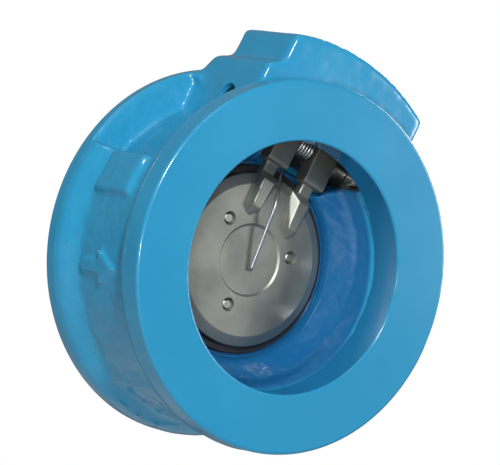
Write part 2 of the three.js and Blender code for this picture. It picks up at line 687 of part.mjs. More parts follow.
const valve = new THREE.Group();
valve.add(valveBody());
valve.add(valveDisc());
valve.add(discSeal());
valve.add(sealRetainer());
valve.add(...retainerScrews());
valve.add(hingePin());
valve.add(...hingeSpacers());
valve.add(...pinPlugs());
valve.add(torsionSpring());

export default valve;
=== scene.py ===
import json
import math

import bpy
from mathutils import Matrix, Vector


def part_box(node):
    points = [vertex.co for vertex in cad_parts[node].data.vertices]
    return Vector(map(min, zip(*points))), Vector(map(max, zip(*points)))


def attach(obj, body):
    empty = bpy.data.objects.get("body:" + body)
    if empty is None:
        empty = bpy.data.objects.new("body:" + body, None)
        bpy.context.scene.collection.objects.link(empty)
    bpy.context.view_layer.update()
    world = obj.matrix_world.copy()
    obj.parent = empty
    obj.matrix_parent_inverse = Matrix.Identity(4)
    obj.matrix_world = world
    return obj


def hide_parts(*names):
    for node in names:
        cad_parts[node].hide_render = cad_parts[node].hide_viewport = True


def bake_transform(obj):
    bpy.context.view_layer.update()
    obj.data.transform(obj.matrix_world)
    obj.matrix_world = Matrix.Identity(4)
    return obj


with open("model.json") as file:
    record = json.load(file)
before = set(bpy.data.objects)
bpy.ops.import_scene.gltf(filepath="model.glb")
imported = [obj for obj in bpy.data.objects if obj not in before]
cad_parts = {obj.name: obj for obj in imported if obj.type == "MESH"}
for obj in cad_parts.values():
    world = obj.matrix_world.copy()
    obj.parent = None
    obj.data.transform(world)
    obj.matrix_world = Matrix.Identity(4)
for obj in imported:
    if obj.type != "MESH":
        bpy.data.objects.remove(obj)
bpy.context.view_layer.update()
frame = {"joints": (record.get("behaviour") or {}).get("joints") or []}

mm = 0.001


# ---- Body casting ------------------------------------------------------------------------------------
# One piece of ductile iron, sand cast: two round rims with a waist between them, and a stepped lug over
# the hinge. The flange faces, rims, outlet bore, seat and inlet cone are machined afterwards, and the
# whole body is coated with light blue epoxy.

gap = 0.3 * mm
low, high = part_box("valve_body")
seal_low, seal_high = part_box("disc_seal")
outlet_face = low.y
inlet_face = high.y
rim_radius = high.x
lug_radius = high.z
hinge = Vector(frame["joints"][0]["pos_m"])
seat_face = seal_high.y + gap
seat_radius = seal_high.x + 2 * mm
bore_radius = 73.7 * mm
land_end = outlet_face + 24 * mm
throat_radius = 48.5 * mm
mouth_radius = 68 * mm
waist_radius = 100.7 * mm
outlet_rim = outlet_face + 20 * mm
inlet_rim = inlet_face - 13 * mm
outlet_rim_turned = outlet_rim - 5.5 * mm
inlet_rim_turned = inlet_rim + 4 * mm
rim_edge = 2.2 * mm
bore_edge = 1.3 * mm
lug_front = outlet_face + 24 * mm
lug_back = inlet_face - 18.5 * mm
lug_half = 53.5 * mm
step_radius = 118 * mm
step_half = 62.5 * mm
lug_foot = 20 * mm
hollow_radius = 89.2 * mm


def deselect():
    if bpy.context.object and bpy.context.object.mode == "EDIT":
        bpy.ops.object.mode_set(mode="OBJECT")
    bpy.ops.object.select_all(action="DESELECT")


def picked(piece):
    """Makes the piece the active one and the only one selected."""
    deselect()
    bpy.context.view_layer.objects.active = piece
    piece.select_set(True)


def editing(piece, kind="VERT", chosen=None):
    """Opens the piece in edit mode with the faces or edges selected whose corners are all chosen."""
    picked(piece)
    bpy.ops.object.mode_set(mode="EDIT")
    bpy.ops.mesh.select_mode(type=kind)
    bpy.ops.mesh.select_all(action="DESELECT" if chosen else "SELECT")
    if chosen:
        bpy.ops.object.mode_set(mode="OBJECT")
        points = piece.data.vertices
        for part in piece.data.polygons if kind == "FACE" else piece.data.edges:
            part.select = all(chosen(points[i].co) for i in part.vertices)
        bpy.ops.object.mode_set(mode="EDIT")


def wire(name, points):
    """A run of straight edges through the points, drawn by extruding one vertex."""
    deselect()
    bpy.ops.mesh.primitive_plane_add(size=mm, location=points[0])
    bpy.ops.object.transform_apply(location=True, rotation=False, scale=False)
    piece = bpy.context.object
    piece.name = name
    editing(piece)
    bpy.ops.mesh.merge(type="CENTER")
    for here, there in zip(points, points[1:]):
        step = Vector(there) - Vector(here)
        bpy.ops.mesh.extrude_region_move(TRANSFORM_OT_translate={"value": step})
    bpy.ops.mesh.select_all(action="SELECT")
    return piece


def turned(name, profile, steps, start=0.0, turn=2 * math.pi):
    """A section of (radius, y) points, ending where it starts or on the axis, spun about the pipe axis."""
    piece = wire(name, [(radius * math.cos(start), y, radius * math.sin(start)) for radius, y in profile])
    if turn < 2 * math.pi:
        bpy.ops.mesh.remove_doubles(threshold=0.001 * mm)
        bpy.ops.mesh.edge_face_add()
    bpy.ops.mesh.spin(steps=steps, angle=-turn, center=(0, 0, 0), axis=(0, 1, 0))
    bpy.ops.mesh.select_all(action="SELECT")
    bpy.ops.mesh.remove_doubles(threshold=0.01 * mm)
    bpy.ops.mesh.normals_make_consistent(inside=False)
    bpy.ops.object.mode_set(mode="OBJECT")
    return piece


def plate(name, outline, depth):
    """A flat outline of points, filled and pushed by the vector depth."""
    piece = wire(name, outline + outline[:1])
    bpy.ops.mesh.remove_doubles(threshold=0.001 * mm)
    bpy.ops.mesh.edge_face_add()
    bpy.ops.mesh.extrude_region_move(TRANSFORM_OT_translate={"value": depth})
    bpy.ops.mesh.select_all(action="SELECT")
    bpy.ops.mesh.normals_make_consistent(inside=False)
    bpy.ops.object.mode_set(mode="OBJECT")
    return piece


def bar(name, radius, start, end, sides=48):
    """A round or many-sided bar between two points on a line along X or Y."""
    deselect()
    along = Vector(end) - Vector(start)
    turn = along.to_track_quat("Z", "X").to_euler()
    middle = (Vector(start) + Vector(end)) / 2
    bpy.ops.mesh.primitive_cylinder_add(
        vertices=sides, radius=radius, depth=along.length, location=middle, rotation=turn
    )
    bpy.ops.object.transform_apply(location=True, rotation=True, scale=True)
    bpy.context.object.name = name
    return bpy.context.object


def slab(name, lowest, highest):
    """A block between two corners."""
    deselect()
    lowest, highest = Vector(lowest), Vector(highest)
    bpy.ops.mesh.primitive_cube_add(size=1, location=(lowest + highest) / 2, scale=highest - lowest)
    bpy.ops.object.transform_apply(location=True, rotation=True, scale=True)
    bpy.context.object.name = name
    return bpy.context.object


def bisected(piece, point, normal):
    """Cuts the piece by a plane, takes away what lies on the normal's side and closes the cut."""
    editing(piece)
    bpy.ops.mesh.bisect(plane_co=point, plane_no=normal, use_fill=True, clear_outer=True)
    bpy.ops.mesh.select_all(action="SELECT")
    bpy.ops.mesh.normals_make_consistent(inside=False)
    bpy.ops.object.mode_set(mode="OBJECT")


def bevelled(piece, width, segments, chosen):
    """Rounds the piece's edges whose two ends are both chosen."""
    editing(piece, "EDGE", chosen)
    bpy.ops.mesh.bevel(offset=width, segments=segments, affect="EDGES", clamp_overlap=True)
    bpy.ops.object.mode_set(mode="OBJECT")


def moved(piece, matrix):
    piece.data.transform(matrix)


def mirrored(piece):
    """Puts the piece on the other side of the valve's middle plane."""
    moved(piece, Matrix.Diagonal((-1, 1, 1, 1)))
    piece.data.flip_normals()


def applied(piece, kind, **settings):
    """Applies one modifier of that kind to the piece."""
    step = piece.modifiers.new(kind.lower(), kind)
    for name, value in settings.items():
        setattr(step, name, value)
    picked(piece)
    bpy.ops.object.modifier_apply(modifier=step.name)


def joined(piece, tool, operation="UNION"):
    """Adds the tool to the piece, or cuts the piece with it, and uses it up."""
    applied(piece, "BOOLEAN", operation=operation, solver="EXACT", object=tool)
    bpy.data.objects.remove(tool)


def arc(centre, radius, start, end, count):
    """Points on an arc in a section, from one angle in degrees to another."""
    angles = [math.radians(start + (end - start) * i / count) for i in range(count + 1)]
    return [(centre[0] + radius * math.cos(a), centre[1] + radius * math.sin(a)) for a in angles]


# The casting before machining: the round blank with its waist, a little proud at the rims.
spare = 1 * mm
body = turned(
    "cast_body",
    [
        (0, outlet_face - spare),
        (rim_radius + spare, outlet_face - spare),
        (rim_radius + spare, outlet_rim_turned - 2.5 * mm),
        (rim_radius, outlet_rim_turned),
        (rim_radius - 0.4 * mm, outlet_rim - 1 * mm),
        (waist_radius + 2 * mm, outlet_rim + 4 * mm),
        (waist_radius, outlet_rim + 9 * mm),
        (waist_radius, inlet_rim - 12 * mm),
        (waist_radius + 2 * mm, inlet_rim - 8 * mm),
        (rim_radius - 0.4 * mm, inlet_rim),
        (rim_radius, inlet_rim_turned),
        (rim_radius + spare, inlet_rim_turned + 3 * mm),
        (rim_radius + spare, inlet_face + spare),
        (0, inlet_face + spare),
    ],
    192,
)

# Hollows in the waist on both sides of the lug, down to the middle of the side.
hollow_lip = (waist_radius + 0.5 * mm, outlet_rim + 9 * mm)
hollow_turn = math.radians(42)
for start in (170, 52):
    hollow = turned(
        "hollow",
        [
            hollow_lip,
            (rim_radius + 4 * mm, outlet_rim + 3 * mm),
            (rim_radius + 4 * mm, inlet_face - 8 * mm),
            (hollow_radius, inlet_face - 12 * mm),
            (hollow_radius, inlet_face - 22 * mm),
            hollow_lip,
        ],
        28,
        start=math.radians(start),
        turn=hollow_turn,
    )
    joined(body, hollow, "DIFFERENCE")

# The lug's upper sector with rounded ends.
proud = 0.3 * mm
upper = bar("upper_lug", lug_radius + 0.4 * mm, (0, lug_front, 0), (0, lug_back, 0), 256)
for side in (-1, 1):
    bisected(upper, (side * (lug_half + proud), 0, 0), (side, 0, 0))
bisected(upper, (0, 0, lug_foot), (0, 0, -1))
bevelled(upper, 4.5 * mm, 4, lambda p: abs(p.x) > lug_half and p.z > 100 * mm)
joined(body, upper)

# The wider step below it, whose back slopes down to the inlet rim.
step = bar("step_lug", step_radius + proud, (0, lug_front, 0), (0, lug_back + 3 * mm, 0), 256)
editing(step, "FACE", lambda p: p.y > lug_back)
bpy.ops.mesh.extrude_region_move(TRANSFORM_OT_translate={"value": (0, 7 * mm, 0)})
shrink = rim_radius / step_radius
bpy.ops.transform.resize(value=(shrink, 1, shrink), center_override=(0, 0, 0))
bpy.ops.object.mode_set(mode="OBJECT")
for side in (-1, 1):
    bisected(step, (side * (step_half + proud), 0, 0), (side, 0, 0))
bisected(step, (0, 0, lug_foot), (0, 0, -1))
bevelled(step, 3.5 * mm, 4, lambda p: abs(p.x) > step_half and p.z > 80 * mm)
joined(body, step)

# Web at the bottom, at full height for a short way and running out into the waist.
web_radius = rim_radius - 1 * mm
web_foot_radius = 98 * mm
crest_angle = math.radians(6)
foot_angle = math.radians(21)
web = bar("web", web_radius, (0, outlet_rim - 10 * mm, 0), (0, inlet_rim + 6 * mm, 0), 256)
for side in (-1, 1):
    crest, foot = (
        Vector((side * radius * math.sin(angle), 0, -radius * math.cos(angle)))
        for radius, angle in ((web_radius, crest_angle), (web_foot_radius, foot_angle))
    )
    flank = (crest - foot).cross(Vector((0, 1, 0))) * side
    bisected(web, crest, flank * (1 if flank.x * side > 0 else -1))
bisected(web, (0, 0, -80 * mm), (0, 0, 1))
joined(body, web)

# A plain raised pad and an arrow pointing with the flow, on both sides of the waist.
middle = (outlet_rim + inlet_rim) / 2 + 1 * mm
mark_root = waist_radius - 4 * mm
pad_long = 17 * mm
pad_wide = 13 * mm
pad_turn = Matrix.Rotation(math.radians(-2), 4, "Y")
arrow_turn = Matrix.Rotation(math.radians(30), 4, "Y")
outline = [(-17, 0), (-2, 10.5), (-2, 3.5), (17, 3.5), (17, -3.5), (-2, -3.5), (-2, -10.5)]
points = [(mark_root, middle + y * mm, z * mm) for y, z in outline]
for side in (-1, 1):
    pad = slab(
        "pad",
        (mark_root, middle - pad_long, -pad_wide),
        (waist_radius + 3.2 * mm, middle + pad_long, pad_wide),
    )
    bevelled(pad, 1.6 * mm, 2, lambda p: p.x > waist_radius)
    moved(pad, pad_turn)
    arrow = plate("arrow", points, (6.8 * mm, 0, 0))
    moved(arrow, arrow_turn)
    for mark in (pad, arrow):
        if side < 0:
            mirrored(mark)
        joined(body, mark)

# The cast bowl behind the outlet bore, and the room for the hinge above it.
cast_bore = bore_radius - 0.5 * mm
bowl = turned(
    "bowl",
    [
        (0, outlet_face - 3 * mm),
        (cast_bore, outlet_face - 3 * mm),
        (cast_bore, land_end),
        (bore_radius - 2.6 * mm, land_end + 5 * mm),
        (bore_radius - 4.2 * mm, land_end + 13 * mm),
        (bore_radius - 8.5 * mm, land_end + 19 * mm),
        (seat_radius + 1.2 * mm, land_end + 26 * mm),
        (seat_radius + 0.4 * mm, seat_face - 4 * mm),
        (seat_radius + 0.4 * mm, seat_face - 1 * mm),
        (0, seat_face - 1 * mm),
    ],
    160,
)
joined(body, bowl, "DIFFERENCE")
relief = turned(
    "relief",
    [
        (0, land_end - 1 * mm),
        (bore_radius + 0.4 * mm, land_end - 1 * mm),
        (bore_radius + 0.4 * mm, land_end),
        (bore_radius - 3.5 * mm, land_end + 8 * mm),
        (bore_radius - 6 * mm, land_end + 14 * mm),
        (0, land_end + 14 * mm),
    ],
    160,
)
moved(relief, Matrix.Translation((1.6 * mm, 0, 2.0 * mm)))
joined(body, relief, "DIFFERENCE")

pocket_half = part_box("hinge_spacer_right")[1].x + gap
pocket_chamfer = 6 * mm
pocket_top = hinge.z + 15 * mm
shoulder = hinge.z - 8.6 * mm
front_floor = hinge.z - 28 * mm
upper_outline = [
    (pocket_half, shoulder),
    (pocket_half, pocket_top - pocket_chamfer),
    (pocket_half - pocket_chamfer, pocket_top),
    (-pocket_half + pocket_chamfer, pocket_top),
    (-pocket_half, pocket_top - pocket_chamfer),
    (-pocket_half, shoulder),
]
pocket_front = outlet_face + 25 * mm
pocket_step = seat_face - 2.7 * mm
pocket_back = hinge.y + 12.5 * mm
front_outline = [(-18.8 * mm, front_floor), (18.8 * mm, front_floor)] + upper_outline
back_outline = [(-24.8 * mm, seat_radius + 1 * mm), (24.8 * mm, seat_radius + 1 * mm)] + upper_outline
front_room = plate(
    "front_room",
    [(x, pocket_front, z) for x, z in front_outline],
    (0, pocket_step - pocket_front, 0),
)
joined(body, front_room, "DIFFERENCE")
back_room = plate(
    "back_room",
    [(x, pocket_step - 1 * mm, z) for x, z in back_outline],
    (0, pocket_back - pocket_step + 1 * mm, 0),
)
joined(body, back_room, "DIFFERENCE")

# Sand-cast skin: every corner softened, the lug's most, with a slight waviness and lumps in the waist.
waist_edge = rim_radius - 3 * mm
applied(body, "REMESH", mode="VOXEL", voxel_size=1.35 * mm)
skins = {"waist_skin": [], "lug_skin": []}
for vertex in body.data.vertices:
    radius = math.hypot(vertex.co.x, vertex.co.z)
    skins["waist_skin" if radius < waist_edge else "lug_skin"].append(vertex.index)
for name, places in skins.items():
    body.vertex_groups.new(name=name).add(places, 1.0, "REPLACE")
applied(body, "SMOOTH", factor=0.5, iterations=6)
applied(body, "SMOOTH", factor=0.5, iterations=12, vertex_group="lug_skin")
for name, size, strength, where in (
    ("sand_waves", 16 * mm, 0.6 * mm, ""),
    ("sand_lumps", 6 * mm, 0.75 * mm, "waist_skin"),
):
    waves = bpy.data.textures.new(name, "CLOUDS")
    waves.noise_scale = size
    waves.noise_depth = 2
    applied(
        body,
        "DISPLACE",
        texture=waves,
        strength=strength,
        mid_level=0.5,
        texture_coords="LOCAL",
        vertex_group=where,
    )
body.vertex_groups.clear()

# Machining: all that is turned on the lathe, as one solid of revolution that the casting is cut to.
outer = lug_radius + 6 * mm
throat_end = seat_face + 12 * mm
seat_depth = 8.8 * mm
machined = turned(
    "machined",
    [
        (throat_radius, throat_end),
        (throat_radius, seat_face),
        (seat_radius, seat_face),
        (seat_radius, seat_face - seat_depth),
        (seat_radius - 2 * mm, seat_face - seat_depth),
        (seat_radius - 2 * mm, land_end),
        (bore_radius, land_end),
        *arc((bore_radius + bore_edge, outlet_face + bore_edge), bore_edge, 180, 270, 5),
        *arc((rim_radius - rim_edge, outlet_face + rim_edge), rim_edge, -90, 0, 8),
        (rim_radius, outlet_rim_turned),
        (outer, outlet_rim_turned + 0.5 * mm),
        (outer, inlet_rim_turned - 0.5 * mm),
        (rim_radius, inlet_rim_turned),
        *arc((rim_radius - rim_edge, inlet_face - rim_edge), rim_edge, 0, 90, 8),
        (mouth_radius + 0.6 * mm, inlet_face),
        (mouth_radius, inlet_face - 0.8 * mm),
        (throat_radius, throat_end),
    ],
    256,
)
joined(body, machined, "INTERSECT")

# Bore for the hinge pin across the lug, opened at both ends for the plugs.
pin_radius = 5 * mm
pin_bore = pin_radius + gap
plug_radius = 6.6 * mm
end = step_half + 4 * mm
plug_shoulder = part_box("plug_gasket_right")[0].x - gap
joined(body, bar("pin_bore", pin_bore, (-end, hinge.y, hinge.z), (end, hinge.y, hinge.z)), "DIFFERENCE")
for side in (-1, 1):
    ends = [(side * x, hinge.y, hinge.z) for x in (plug_shoulder, end)]
    joined(body, bar("plug_bore", plug_radius + gap, *ends), "DIFFERENCE")


class Value:
    """A node socket in an expression: operators on it add Math nodes."""

    def __init__(self, socket):
        self.socket = socket

    def out(self, place):
        """Another output of the same node."""
        return Value(self.socket.node.outputs[place])

    def maths(self, operation, first, second):
        return node(self.socket.id_data, "ShaderNodeMath", {"operation": operation}, first, second)

    def __add__(self, other):
        return self.maths("ADD", self, other)

    def __rsub__(self, other):
        return self.maths("SUBTRACT", other, self)

    def __mul__(self, other):
        return self.maths("MULTIPLY", self, other)

    def __pow__(self, other):
        return self.maths("POWER", self, other)

    __radd__ = __add__
    __rmul__ = __mul__


def node(tree, kind, settings=None, *places, **named):
    """Adds a node with its settings, then its sockets' values or links, by place or by name."""
    made = tree.nodes.new(kind)
    for name, value in (settings or {}).items():
        setattr(made, name, value)
    for place, value in [*enumerate(places), *((n.replace("_", " "), v) for n, v in named.items())]:
        if isinstance(value, Value):
            tree.links.new(value.socket, made.inputs[place])
        else:
            made.inputs[place].default_value = value
    return Value(made.outputs[0]) if made.outputs else None


def noise(tree, place, scale, detail):
    return node(tree, "ShaderNodeTexNoise", None, Vector=place, Scale=scale, Detail=detail)


def ramp(tree, value, start, end):
    """0 where the value is at its start, 1 at its end, and straight between them."""
    return node(tree, "ShaderNodeMapRange", None, value, start, end)


def material(name):
    made = bpy.data.materials.new(name)
    made.use_nodes = True
    made.node_tree.nodes.clear()
    return made, made.node_tree


def mixed(tree, factor, first, second):
    """Two colours mixed by a factor."""
    blend = node(tree, "ShaderNodeMix", {"data_type": "RGBA"}, factor)
    for place, colour in ((6, first), (7, second)):
        if isinstance(colour, Value):
            tree.links.new(colour.socket, blend.socket.node.inputs[place])
        else:
            blend.socket.node.inputs[place].default_value = (*colour, 1)
    return blend.out(2)


def surface(tree, **sockets):
    """The finished shader on the material's output."""
    node(tree, "ShaderNodeOutputMaterial", None, node(tree, "ShaderNodeBsdfPrincipled", None, **sockets))


def epoxy_paint():
    """Thick glossy epoxy over sand-cast iron: orange peel everywhere, sand grain under it on cast skin."""
    made, tree = material("blue_epoxy")
    place = node(tree, "ShaderNodeTexCoord").out("Object")
    apart = node(tree, "ShaderNodeSeparateXYZ", None, place)
    along = apart.out(1)
    radius = (apart.out(0) ** 2 + apart.out(2) ** 2) ** 0.5
    front = ramp(tree, along, outlet_face + 0.5 * mm, outlet_face + 3 * mm)
    back = ramp(tree, along, inlet_face - 0.5 * mm, inlet_face - 3 * mm)
    bowl_wall = ramp(tree, along, land_end, land_end + 3 * mm)
    inside = ramp(tree, radius, bore_radius + 1 * mm, bore_radius)
    cast = front * back * (1 - inside * (1 - bowl_wall))
    grain = noise(tree, place, 420.0, 3.0)
    lumps = noise(tree, place, 130.0, 2.0)
    peel = noise(tree, place, 900.0, 1.0)
    patches = noise(tree, place, 18.0, 3.0)
    width = node(tree, "ShaderNodeMath", {"operation": "ABSOLUTE"}, apart.out(0))
    # Painted shade in the hinge pocket: inside this box the paint colour goes near black.
    room = [
        (width, pocket_half + 1.6 * mm, pocket_half + 0.8 * mm),
        (apart.out(2), shoulder - 4 * mm, shoulder - 2 * mm),
        (apart.out(2), pocket_top + 2 * mm, pocket_top + 1.2 * mm),
        (along, pocket_front - 0.9 * mm, pocket_front - 0.5 * mm),
        (along, pocket_back + 2 * mm, pocket_back + 1.2 * mm),
    ]
    painted_pocket_shade = 1.0
    for socket, outside, within in room:
        painted_pocket_shade = ramp(tree, socket, outside, within) * painted_pocket_shade
    sunk = ramp(tree, radius, rim_radius + 2 * mm, waist_edge)
    height = cast * (lumps * (0.25 + 0.9 * sunk) + grain * (0.15 + 0.25 * sunk)) + peel * 0.05
    bump = node(tree, "ShaderNodeBump", None, Strength=0.55, Distance=0.5 * mm, Height=height)
    shade = ramp(tree, patches * (0.6 + 0.4 * cast), 0.25, 0.75)
    colour = mixed(tree, shade, (0.016, 0.255, 0.460), (0.026, 0.305, 0.530))
    # Painted shade: inside the outlet bore, on the outlet side of the seat, the paint is darker, and darker
    # again on the bowl's wall past the land.
    outlet_side = ramp(tree, along, seat_face + 2 * mm, seat_face)
    painted_bore_shade = inside * front * outlet_side
    colour = mixed(tree, painted_bore_shade, colour, (0.013, 0.200, 0.410))
    colour = mixed(tree, painted_bore_shade * bowl_wall, colour, (0.010, 0.125, 0.310))
    # Near black painted shade over the hinge pocket.
    colour = mixed(tree, painted_pocket_shade, colour, (0.020, 0.034, 0.044))
    rough = 0.16 + 0.08 * patches + 0.04 * grain
    surface(
        tree,
        Base_Color=colour,
        Roughness=rough,
        Coat_Weight=0.35,
        Coat_Roughness=0.06,
        IOR=1.5,
        Normal=bump,
    )
    return made


def finished(piece, name, look, rides, stands_for, angle=30):
    """Names the piece, smooths it up to an angle and hands it to the frame."""
    piece.name = name
    piece.data.name = name
    piece.data.materials.clear()
    piece.data.materials.append(look)
    picked(piece)
    bpy.ops.object.shade_smooth_by_angle(angle=math.radians(angle))
    applied(piece, "WEIGHTED_NORMAL", weight=100, keep_sharp=True)
    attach(piece, rides)
    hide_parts(*stands_for)


finished(body, "body_casting", epoxy_paint(), "root", ["valve_body"])


# ---- Disc --------------------------------------------------------------------------------------------
# A stainless casting: a round plate with two hinge arms on its outlet side. The face, the bevel round it,
# the shallow recess for the spring and the pin bore are turned and bored, then the whole is polished dull.

disc_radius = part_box("valve_disc")[1].x
disc_face = hinge.y - 5 * mm
disc_back = seal_low.y - gap
face_radius = disc_radius - 5.7 * mm
seal_inner = 38 * mm
spigot_back = disc_back + 2.9 * mm
spring_recess = 20.9 * mm
recess_floor = disc_face + 1.2 * mm
disc = turned(
    "disc",
    [
        (0, recess_floor),
        (spring_recess - 0.8 * mm, recess_floor),
        (spring_recess - 0.3 * mm, disc_face + 1.05 * mm),
        (spring_recess + 0.5 * mm, disc_face + 0.25 * mm),
        (spring_recess + 1.1 * mm, disc_face),
        (face_radius - 0.8 * mm, disc_face),
        (face_radius, disc_face + 0.25 * mm),
        (disc_radius - 0.5 * mm, disc_face + 2.4 * mm),
        *arc((disc_radius - 0.7 * mm, disc_face + 3.1 * mm), 0.7 * mm, -60, 0, 3),
        (disc_radius, disc_back - 0.3 * mm),
        (disc_radius - 0.3 * mm, disc_back),
        (seal_inner - gap, disc_back),
        (seal_inner - gap, spigot_back),
        (0, spigot_back),
    ],
    192,
)
knuckle_radius = 9.5 * mm
knuckle_foot = hinge.z - 20 * mm
arm_centre = 14.8 * mm
arm_half = 8 * mm
# Height on the face, and half widths in mm: foot towards the middle, foot outside, crest.
rib_sections = [(22, 1.6, 2.2, 0.5), (28, 4.6, 5.0, 2.8), (45.5, 9.0, 5.4, 3.9), (50.1, 9.5, 5.4, 3.9)]
for side in (-1, 1):
    # The rib: a block cut across at two heights, drawn in to a pointed toe and to a narrower crest.
    rib = slab(
        "rib",
        (arm_centre - arm_half, disc_face - 4.3 * mm, rib_sections[0][0] * mm),
        (arm_centre + arm_half, disc_face + 0.6 * mm, disc_radius - 1.2 * mm),
    )
    editing(rib)
    for height, *_ in rib_sections[1:3]:
        bpy.ops.mesh.select_all(action="SELECT")
        bpy.ops.mesh.bisect(plane_co=(0, 0, height * mm), plane_no=(0, 0, 1))
    bpy.ops.object.mode_set(mode="OBJECT")
    crest = disc_face - 4.2 * mm
    for vertex in rib.data.vertices:
        point = vertex.co
        height, inner, outer_half, top = min(rib_sections, key=lambda row: abs(row[0] * mm - point.z))
        across = -1 if point.x < arm_centre else 1
        foot = inner if across < 0 else outer_half
        raised = point.y < crest
        point.x = arm_centre + across * (top if raised else foot) * mm
        if raised and (height == rib_sections[0][0] or point.z > disc_radius - 2 * mm):
            point.y = disc_face + 0.3 * mm
    # The neck over the disc's edge, and the knuckle's block with a bevelled foot.
    neck = slab(
        "neck",
        (arm_centre - 4.6 * mm, disc_face + 0.1 * mm, disc_radius - 6 * mm),
        (arm_centre + 4.6 * mm, disc_back, knuckle_foot + 4 * mm),
    )
    bevelled(neck, 1.2 * mm, 2, lambda p: p.y < disc_face + 1 * mm)
    front = hinge.y - knuckle_radius
    block = slab(
        "block",
        (arm_centre - arm_half, front, knuckle_foot),
        (arm_centre + arm_half, disc_back, hinge.z),
    )
    bevelled(block, 2.2 * mm, 2, lambda p: p.y < front + 1 * mm and p.z < knuckle_foot + 1 * mm)
    ends = [(arm_centre + x, hinge.y, hinge.z) for x in (-arm_half, arm_half)]
    knuckle = bar("knuckle", knuckle_radius, *ends, 64)
    joined(block, knuckle)
    joined(block, neck)
    joined(block, rib)
    applied(block, "REMESH", mode="VOXEL", voxel_size=0.55 * mm)
    applied(block, "SMOOTH", factor=0.5, iterations=4)
    if side < 0:
        mirrored(block)
    joined(disc, block)
pin_ends = [(x * 24 * mm, hinge.y, hinge.z) for x in (-1, 1)]
joined(disc, bar("pin_hole", pin_bore, *pin_ends, 64), "DIFFERENCE")
screw_circle = 29.3 * mm
screw_hole = 3.35 * mm
sunk_hole = 3.9 * mm
screw_places = [
    (screw_circle * math.sin(math.radians(turn)), screw_circle * math.cos(math.radians(turn)))
    for turn in (60, 180, 300)
]
for x, z in screw_places:
    hole = turned(
        "screw_hole",
        [
            (0, disc_face - 1 * mm),
            (5.0 * mm, disc_face - 1 * mm),
            (sunk_hole, disc_face + 0.4 * mm),
            (sunk_hole, disc_face + 2 * mm),
            (screw_hole, disc_face + 2 * mm),
            (screw_hole, disc_back + 4 * mm),
            (0, disc_back + 4 * mm),
        ],
        48,
    )
    moved(hole, Matrix.Translation((x, 0, z)))
    joined(disc, hole, "DIFFERENCE")


def dull_steel(name, light, dark, rough=0.34, grain_size=700.0, depth=0.05 * mm, metal=1.0):
    """Stainless steel polished dull: cloudy patches, fine grain and a slight waviness."""
    made, tree = material(name)
    place = node(tree, "ShaderNodeTexCoord").out("Object")
    clouds = noise(tree, place, 26.0, 4.0)
    grain = noise(tree, place, grain_size, 3.0)
    waves = noise(tree, place, 60.0, 2.0)
    shade = ramp(tree, clouds, 0.3, 0.7)
    colour = mixed(tree, shade, dark, light)
    bump = node(
        tree, "ShaderNodeBump", None, Strength=0.35, Distance=depth, Height=grain * 0.5 + waves * 1.6
    )
    surface(
        tree,
        Base_Color=colour,
        Metallic=metal,
        Roughness=rough - 0.05 + 0.12 * clouds + 0.05 * grain,
        Normal=bump,
    )
    return made


finished(
    disc,
    "disc_casting",
    dull_steel("disc_polish", (0.38, 0.39, 0.335), (0.19, 0.205, 0.195), 0.42, metal=0.85),
    "disc",
    ["valve_disc"],
)


# ---- Seal ring ---------------------------------------------------------------------------------------
# A flat ring of moulded black rubber, gripped between the disc and the retainer. Its outer edge has a
# rounded lip that presses on the seat.

seal_front, seal_back = seal_low.y, seal_high.y
seal_radius = seal_high.x
lip = 1.2 * mm
seal = turned(
    "seal",
    [
        (seal_inner, seal_front),
        (seal_radius - 2.2 * mm, seal_front),
        (seal_radius - 1.6 * mm, seal_front + 0.3 * mm),
        *arc((seal_radius - lip, (seal_front + seal_back) / 2), lip, -70, 70, 8),
        (seal_radius - 1.6 * mm, seal_back),
        (seal_inner, seal_back),
        (seal_inner, seal_front),
    ],
    192,
)


def rubber():
    """Moulded black rubber with a faint matt bloom."""
    made, tree = material("black_rubber")
    place = node(tree, "ShaderNodeTexCoord").out("Object")
    bloom = noise(tree, place, 90.0, 4.0)
    grain = noise(tree, place, 1500.0, 2.0)
    colour = mixed(tree, bloom, (0.008, 0.008, 0.010), (0.020, 0.020, 0.023))
    bump = node(tree, "ShaderNodeBump", None, Strength=0.2, Distance=0.05 * mm, Height=grain)
    surface(tree, Base_Color=colour, Roughness=0.5 + 0.15 * bloom, Normal=bump)
    return made


finished(seal, "seal_ring", rubber(), "disc", ["disc_seal"])


# ---- Retainer ----------------------------------------------------------------------------------------
# A turned stainless plate on the inlet side that clamps the seal, with a bevelled edge, three clearance
# holes and fine lathe marks.

retainer_low, retainer_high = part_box("seal_retainer")
retainer_front, retainer_back = retainer_low.y, retainer_high.y
retainer_radius = retainer_high.x
retainer = turned(
    "retainer",
    [
        (0, retainer_front),
        (retainer_radius - 0.3 * mm, retainer_front),
        (retainer_radius, retainer_front + 0.3 * mm),
        (retainer_radius, retainer_back - 1 * mm),
        (retainer_radius - 1 * mm, retainer_back),
        (0.6 * mm, retainer_back),
        (0, retainer_back - 0.5 * mm),
    ],
    160,
)
for x, z in screw_places:
    ends = [(x, y, z) for y in (retainer_front - 1 * mm, retainer_back + 1 * mm)]
    joined(retainer, bar("clearance_hole", screw_hole, *ends), "DIFFERENCE")


def turned_steel(name, light, dark, pitch=0.35 * mm, rough=0.28):
    """Stainless steel off the lathe: fine rings about the pipe axis under a cloudy sheen."""
    made, tree = material(name)
    place = node(tree, "ShaderNodeTexCoord").out("Object")
    apart = node(tree, "ShaderNodeSeparateXYZ", None, place)
    radius = (apart.out(0) ** 2 + apart.out(2) ** 2) ** 0.5
    rings = node(tree, "ShaderNodeMath", {"operation": "SINE"}, radius * (2 * math.pi / pitch))
    clouds = noise(tree, place, 40.0, 3.0)
    colour = mixed(tree, clouds, dark, light)
    height = rings * 0.5 + 0.5 * clouds
    bump = node(tree, "ShaderNodeBump", None, Strength=0.15, Distance=0.03 * mm, Height=height)
    surface(tree, Base_Color=colour, Metallic=1.0, Roughness=rough + 0.1 * clouds, Normal=bump)
    return made


